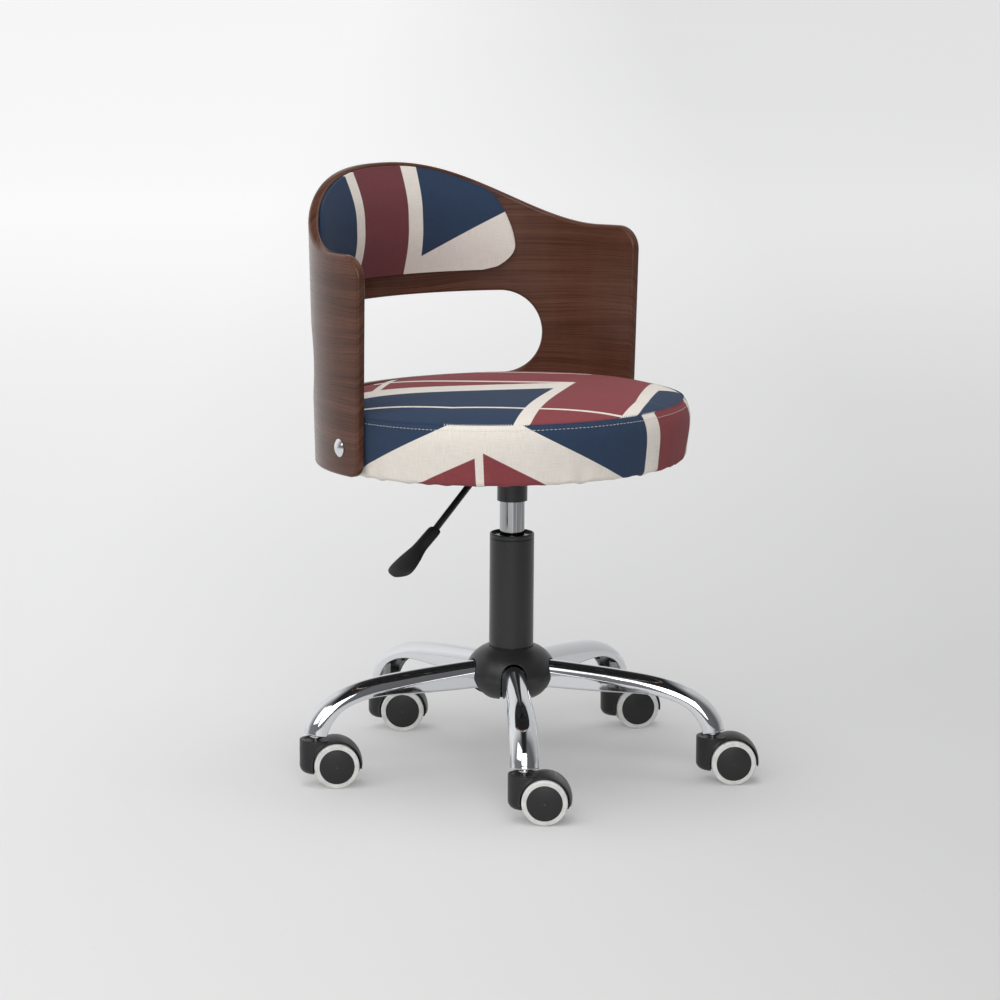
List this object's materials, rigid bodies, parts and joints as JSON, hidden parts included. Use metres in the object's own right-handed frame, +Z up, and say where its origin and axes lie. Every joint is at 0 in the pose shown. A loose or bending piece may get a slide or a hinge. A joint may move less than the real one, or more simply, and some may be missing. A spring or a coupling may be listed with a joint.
{
  "type": "office chair",
  "caption": "Low swivel chair: round printed seat in a bent walnut shell with a curved back pad, gas lift with hand lever, chromed star base on twin-wheel casters.",
  "frame": {"origin": "on the floor under the gas column's axis", "axes": "+Z up, -Y the way a sitter faces, +X to the sitter's left"},
  "size_m": [0.5129, 0.4951, 0.6682],
  "materials": {
    "walnut": "satin clear lacquer over straight-grained walnut veneer",
    "print_fabric": "plain woven cloth printed in navy, brick red and cream",
    "chrome": "bright chrome plate",
    "black_plastic": "fine-grained black moulded plastic",
    "black_metal": "satin black powder coat",
    "pale_tyre": "pale grey soft tread",
    "plain_steel": "plain zinc-plated steel",
    "plywood": "raw birch plywood",
    "dust_cloth": "thin black bonded cloth"
  },
  "bodies": {
    "base": {"arm_1": "chrome", "arm_2": "chrome", "arm_3": "chrome", "arm_4": "chrome", "arm_5": "chrome", "stem_sockets": "plain_steel", "hub_sleeve": "plain_steel", "hub_cover": "black_plastic", "outer_tube": "black_metal", "guide_bushing": "black_plastic", "thrust_bearing": "plain_steel"},
    "spindle": {"piston_rod": "plain_steel", "rod_clip": "plain_steel"},
    "seat": {"gas_cylinder": "chrome", "taper_socket": "black_metal", "mechanism_plate": "black_metal", "plate_bolts": "plain_steel", "lever_pin": "plain_steel", "seat_board": "plywood", "rim_ring": "plywood", "shell_fasteners": "chrome", "seat_cushion": "print_fabric", "dust_cover": "dust_cloth", "walnut_shell": "walnut", "back_pad": "print_fabric", "pad_board": "plywood", "pad_screws": "chrome"},
    "lever": {"lever_rod": "black_metal", "lever_grip": "black_plastic"},
    "button": {"valve_button": "plain_steel"},
    "caster_1": {"caster_1_hood": "black_plastic", "caster_1_pins": "chrome"},
    "caster_1_left_wheel": {"caster_1_left_core": "black_plastic", "caster_1_left_tyre": "pale_tyre"},
    "caster_1_right_wheel": {"caster_1_right_core": "black_plastic", "caster_1_right_tyre": "pale_tyre"},
    "caster_2": {"caster_2_hood": "black_plastic", "caster_2_pins": "chrome"},
    "caster_2_left_wheel": {"caster_2_left_core": "black_plastic", "caster_2_left_tyre": "pale_tyre"},
    "caster_2_right_wheel": {"caster_2_right_core": "black_plastic", "caster_2_right_tyre": "pale_tyre"},
    "caster_3": {"caster_3_hood": "black_plastic", "caster_3_pins": "chrome"},
    "caster_3_left_wheel": {"caster_3_left_core": "black_plastic", "caster_3_left_tyre": "pale_tyre"},
    "caster_3_right_wheel": {"caster_3_right_core": "black_plastic", "caster_3_right_tyre": "pale_tyre"},
    "caster_4": {"caster_4_hood": "black_plastic", "caster_4_pins": "chrome"},
    "caster_4_left_wheel": {"caster_4_left_core": "black_plastic", "caster_4_left_tyre": "pale_tyre"},
    "caster_4_right_wheel": {"caster_4_right_core": "black_plastic", "caster_4_right_tyre": "pale_tyre"},
    "caster_5": {"caster_5_hood": "black_plastic", "caster_5_pins": "chrome"},
    "caster_5_left_wheel": {"caster_5_left_core": "black_plastic", "caster_5_left_tyre": "pale_tyre"},
    "caster_5_right_wheel": {"caster_5_right_core": "black_plastic", "caster_5_right_tyre": "pale_tyre"}
  },
  "joints": [
    {"name": "column_swivel", "type": "hinge", "parent": "base", "child": "spindle", "pos_m": [0, 0, 0.1], "axis": [0, 0, 1], "continuous": true},
    {"name": "seat_lift", "type": "slide", "parent": "spindle", "child": "seat", "axis": [0, 0, 1], "range_m": [-0.032, 0.068]},
    {"name": "lever_lift", "type": "hinge", "parent": "seat", "child": "lever", "pos_m": [-0.026, 0.00003, 0.3409], "axis": [0, 0.9995, -0.0305], "range_deg": [0, 7], "stiffness_Nm_per_rad": 1},
    {"name": "valve_press", "type": "slide", "parent": "seat", "child": "button", "axis": [0, 0, -1], "range_m": [0, 0.0038]},
    {"name": "caster_1_swivel", "type": "hinge", "parent": "base", "child": "caster_1", "pos_m": [0.22618, 0.05597, 0.06], "axis": [0, 0, 1], "continuous": true},
    {"name": "caster_1_left_roll", "type": "hinge", "parent": "caster_1", "child": "caster_1_left_wheel", "pos_m": [0.24491, 0.04444, 0.025], "axis": [0.524, 0.8517, 0], "continuous": true},
    {"name": "caster_1_right_roll", "type": "hinge", "parent": "caster_1", "child": "caster_1_right_wheel", "pos_m": [0.24491, 0.04444, 0.025], "axis": [0.524, 0.8517, 0], "continuous": true},
    {"name": "caster_2_swivel", "type": "hinge", "parent": "base", "child": "caster_2", "pos_m": [0.01666, 0.2324, 0.06], "axis": [0, 0, 1], "continuous": true},
    {"name": "caster_2_left_roll", "type": "hinge", "parent": "caster_2", "child": "caster_2_left_wheel", "pos_m": [0.03272, 0.21737, 0.025], "axis": [0.6833, 0.7302, 0], "continuous": true},
    {"name": "caster_2_right_roll", "type": "hinge", "parent": "caster_2", "child": "caster_2_right_wheel", "pos_m": [0.03272, 0.21737, 0.025], "axis": [0.6833, 0.7302, 0], "continuous": true},
    {"name": "caster_3_swivel", "type": "hinge", "parent": "base", "child": "caster_3", "pos_m": [-0.21588, 0.08766, 0.06], "axis": [0, 0, 1], "continuous": true},
    {"name": "caster_3_left_roll", "type": "hinge", "parent": "caster_3", "child": "caster_3_left_wheel", "pos_m": [-0.19833, 0.07439, 0.025], "axis": [0.6032, 0.7976, 0], "continuous": true},
    {"name": "caster_3_right_roll", "type": "hinge", "parent": "caster_3", "child": "caster_3_right_wheel", "pos_m": [-0.19833, 0.07439, 0.025], "axis": [0.6032, 0.7976, 0], "continuous": true},
    {"name": "caster_4_swivel", "type": "hinge", "parent": "base", "child": "caster_4", "pos_m": [-0.15008, -0.17823, 0.06], "axis": [0, 0, 1], "continuous": true},
    {"name": "caster_4_left_roll", "type": "hinge", "parent": "caster_4", "child": "caster_4_left_wheel", "pos_m": [-0.13455, -0.19381, 0.025], "axis": [0.7083, 0.7059, 0], "continuous": true},
    {"name": "caster_4_right_roll", "type": "hinge", "parent": "caster_4", "child": "caster_4_right_wheel", "pos_m": [-0.13455, -0.19381, 0.025], "axis": [0.7083, 0.7059, 0], "continuous": true},
    {"name": "caster_5_swivel", "type": "hinge", "parent": "base", "child": "caster_5", "pos_m": [0.12313, -0.19781, 0.06], "axis": [0, 0, 1], "continuous": true},
    {"name": "caster_5_left_roll", "type": "hinge", "parent": "caster_5", "child": "caster_5_left_wheel", "pos_m": [0.14013, -0.21177, 0.025], "axis": [0.6347, 0.7727, 0], "continuous": true},
    {"name": "caster_5_right_roll", "type": "hinge", "parent": "caster_5", "child": "caster_5_right_wheel", "pos_m": [0.14013, -0.21177, 0.025], "axis": [0.6347, 0.7727, 0], "continuous": true}
  ],
  "couplings": [
    {"joint": "valve_press", "follows": "lever_lift", "m_per_rad": 0.0306}
  ]
}
